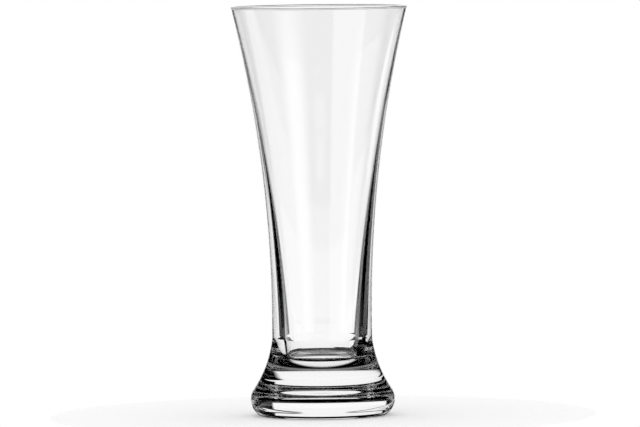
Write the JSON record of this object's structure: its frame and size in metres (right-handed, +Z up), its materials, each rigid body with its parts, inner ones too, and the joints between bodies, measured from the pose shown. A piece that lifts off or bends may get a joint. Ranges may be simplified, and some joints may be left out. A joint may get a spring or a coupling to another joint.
{
  "type": "pilsner glass",
  "caption": "Tall clear pilsner glass with a flared bowl, a narrow waist and a heavy flared foot with a shallow hollow underneath.",
  "frame": {"origin": "centre of the resting ring, on the surface that the glass stands on", "axes": "+Z up along the axis of the glass, from the foot to the rim; the glass is round, so +X and +Y are any two square directions"},
  "size_m": [0.078, 0.078, 0.18],
  "materials": {
    "glass": "clear, fire-polished, smooth"
  },
  "bodies": {
    "root": {"rim": "glass", "bowl": "glass", "foot": "glass"}
  },
  "joints": []
}
